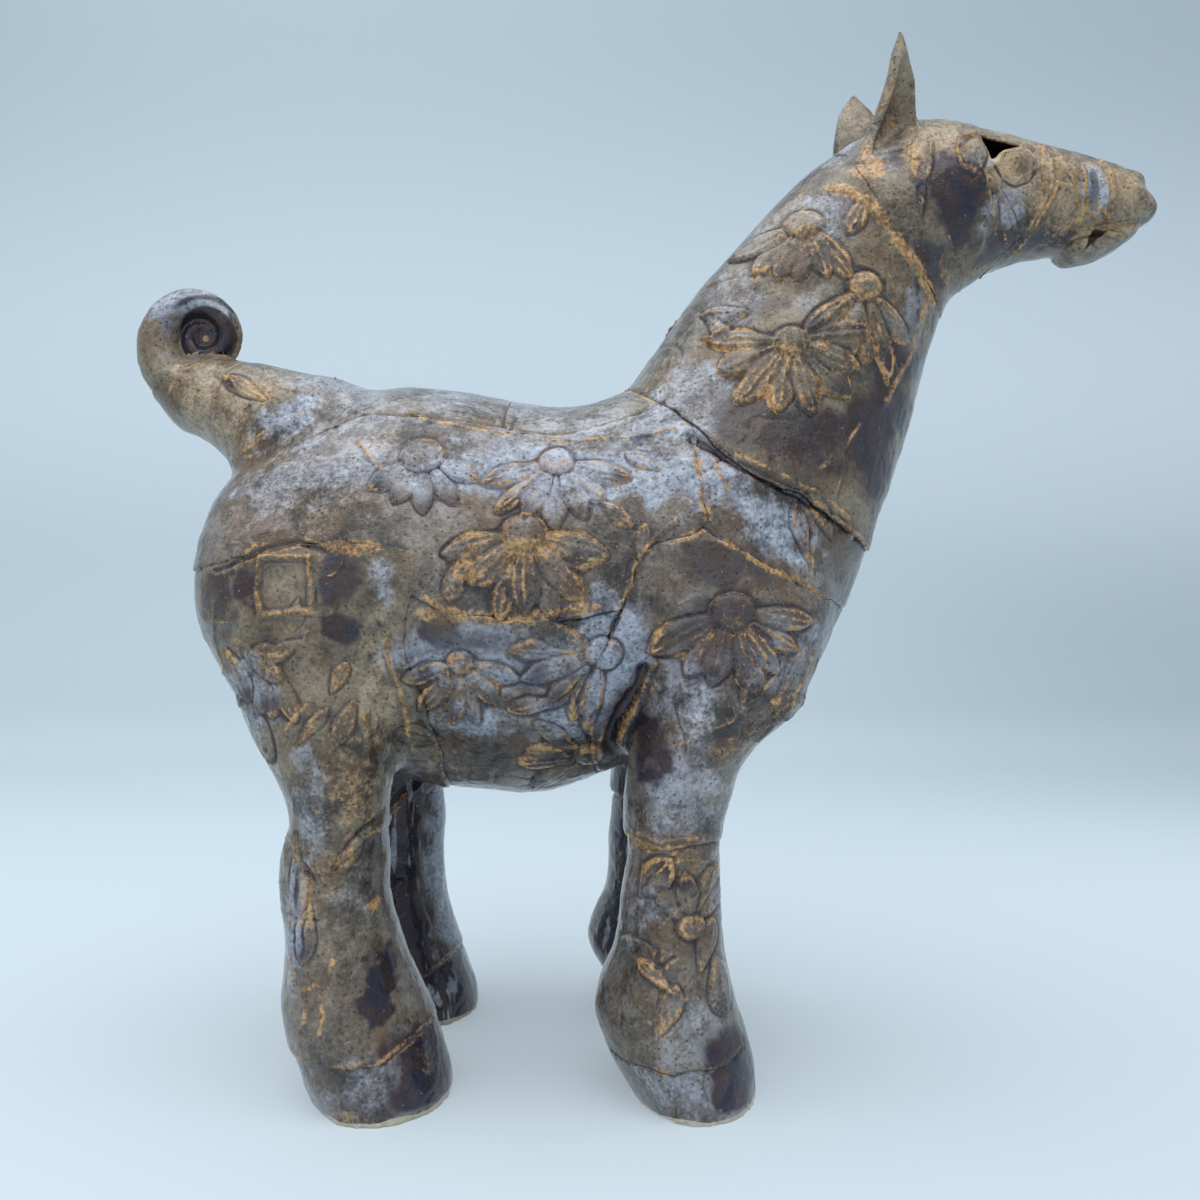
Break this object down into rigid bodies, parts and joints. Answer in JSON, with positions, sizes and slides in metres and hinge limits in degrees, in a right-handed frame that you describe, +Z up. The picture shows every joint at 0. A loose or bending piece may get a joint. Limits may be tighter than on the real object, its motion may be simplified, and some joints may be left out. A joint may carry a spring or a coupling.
{
  "type": "horse figurine",
  "caption": "Standing horse figurine in glazed stoneware, built by hand from clay slabs and hollow inside, with a curled-up tail, pricked ears and broad cuffed hooves",
  "frame": {"origin": "on the ground, under the middle of the horse's length and width", "axes": "+X from tail to nose, +Y to the horse's left side, +Z up"},
  "size_m": [0.3812, 0.1426, 0.3665],
  "materials": {
    "bronze_glaze": "satin",
    "slate_glaze": "satin",
    "umber_glaze": "satin",
    "hoof_glaze": "satin"
  },
  "bodies": {
    "root": {"saddle_slab": "bronze_glaze", "loin_slab": "bronze_glaze", "croup_slab": "bronze_glaze", "belly_slab": "slate_glaze", "right_flank_slab": "slate_glaze", "left_flank_slab": "slate_glaze", "right_haunch_slab": "bronze_glaze", "left_haunch_slab": "bronze_glaze", "right_shoulder_slab": "slate_glaze", "left_shoulder_slab": "slate_glaze", "right_collar_slab": "slate_glaze", "left_collar_slab": "slate_glaze", "right_neck_slab": "bronze_glaze", "left_neck_slab": "bronze_glaze", "right_head_slab": "bronze_glaze", "left_head_slab": "bronze_glaze", "muzzle_slab": "bronze_glaze", "lower_jaw": "bronze_glaze", "right_ear": "bronze_glaze", "left_ear": "bronze_glaze", "right_eyelid": "bronze_glaze", "left_eyelid": "bronze_glaze", "right_brow_pad": "bronze_glaze", "left_brow_pad": "bronze_glaze", "tail_cone": "bronze_glaze", "tail_curl": "bronze_glaze", "right_hind_cuff": "umber_glaze", "left_hind_cuff": "umber_glaze", "right_fore_cuff": "umber_glaze", "left_fore_cuff": "umber_glaze", "right_hind_hoof": "hoof_glaze", "left_hind_hoof": "hoof_glaze", "right_fore_hoof": "hoof_glaze", "left_fore_hoof": "hoof_glaze"}
  },
  "joints": []
}
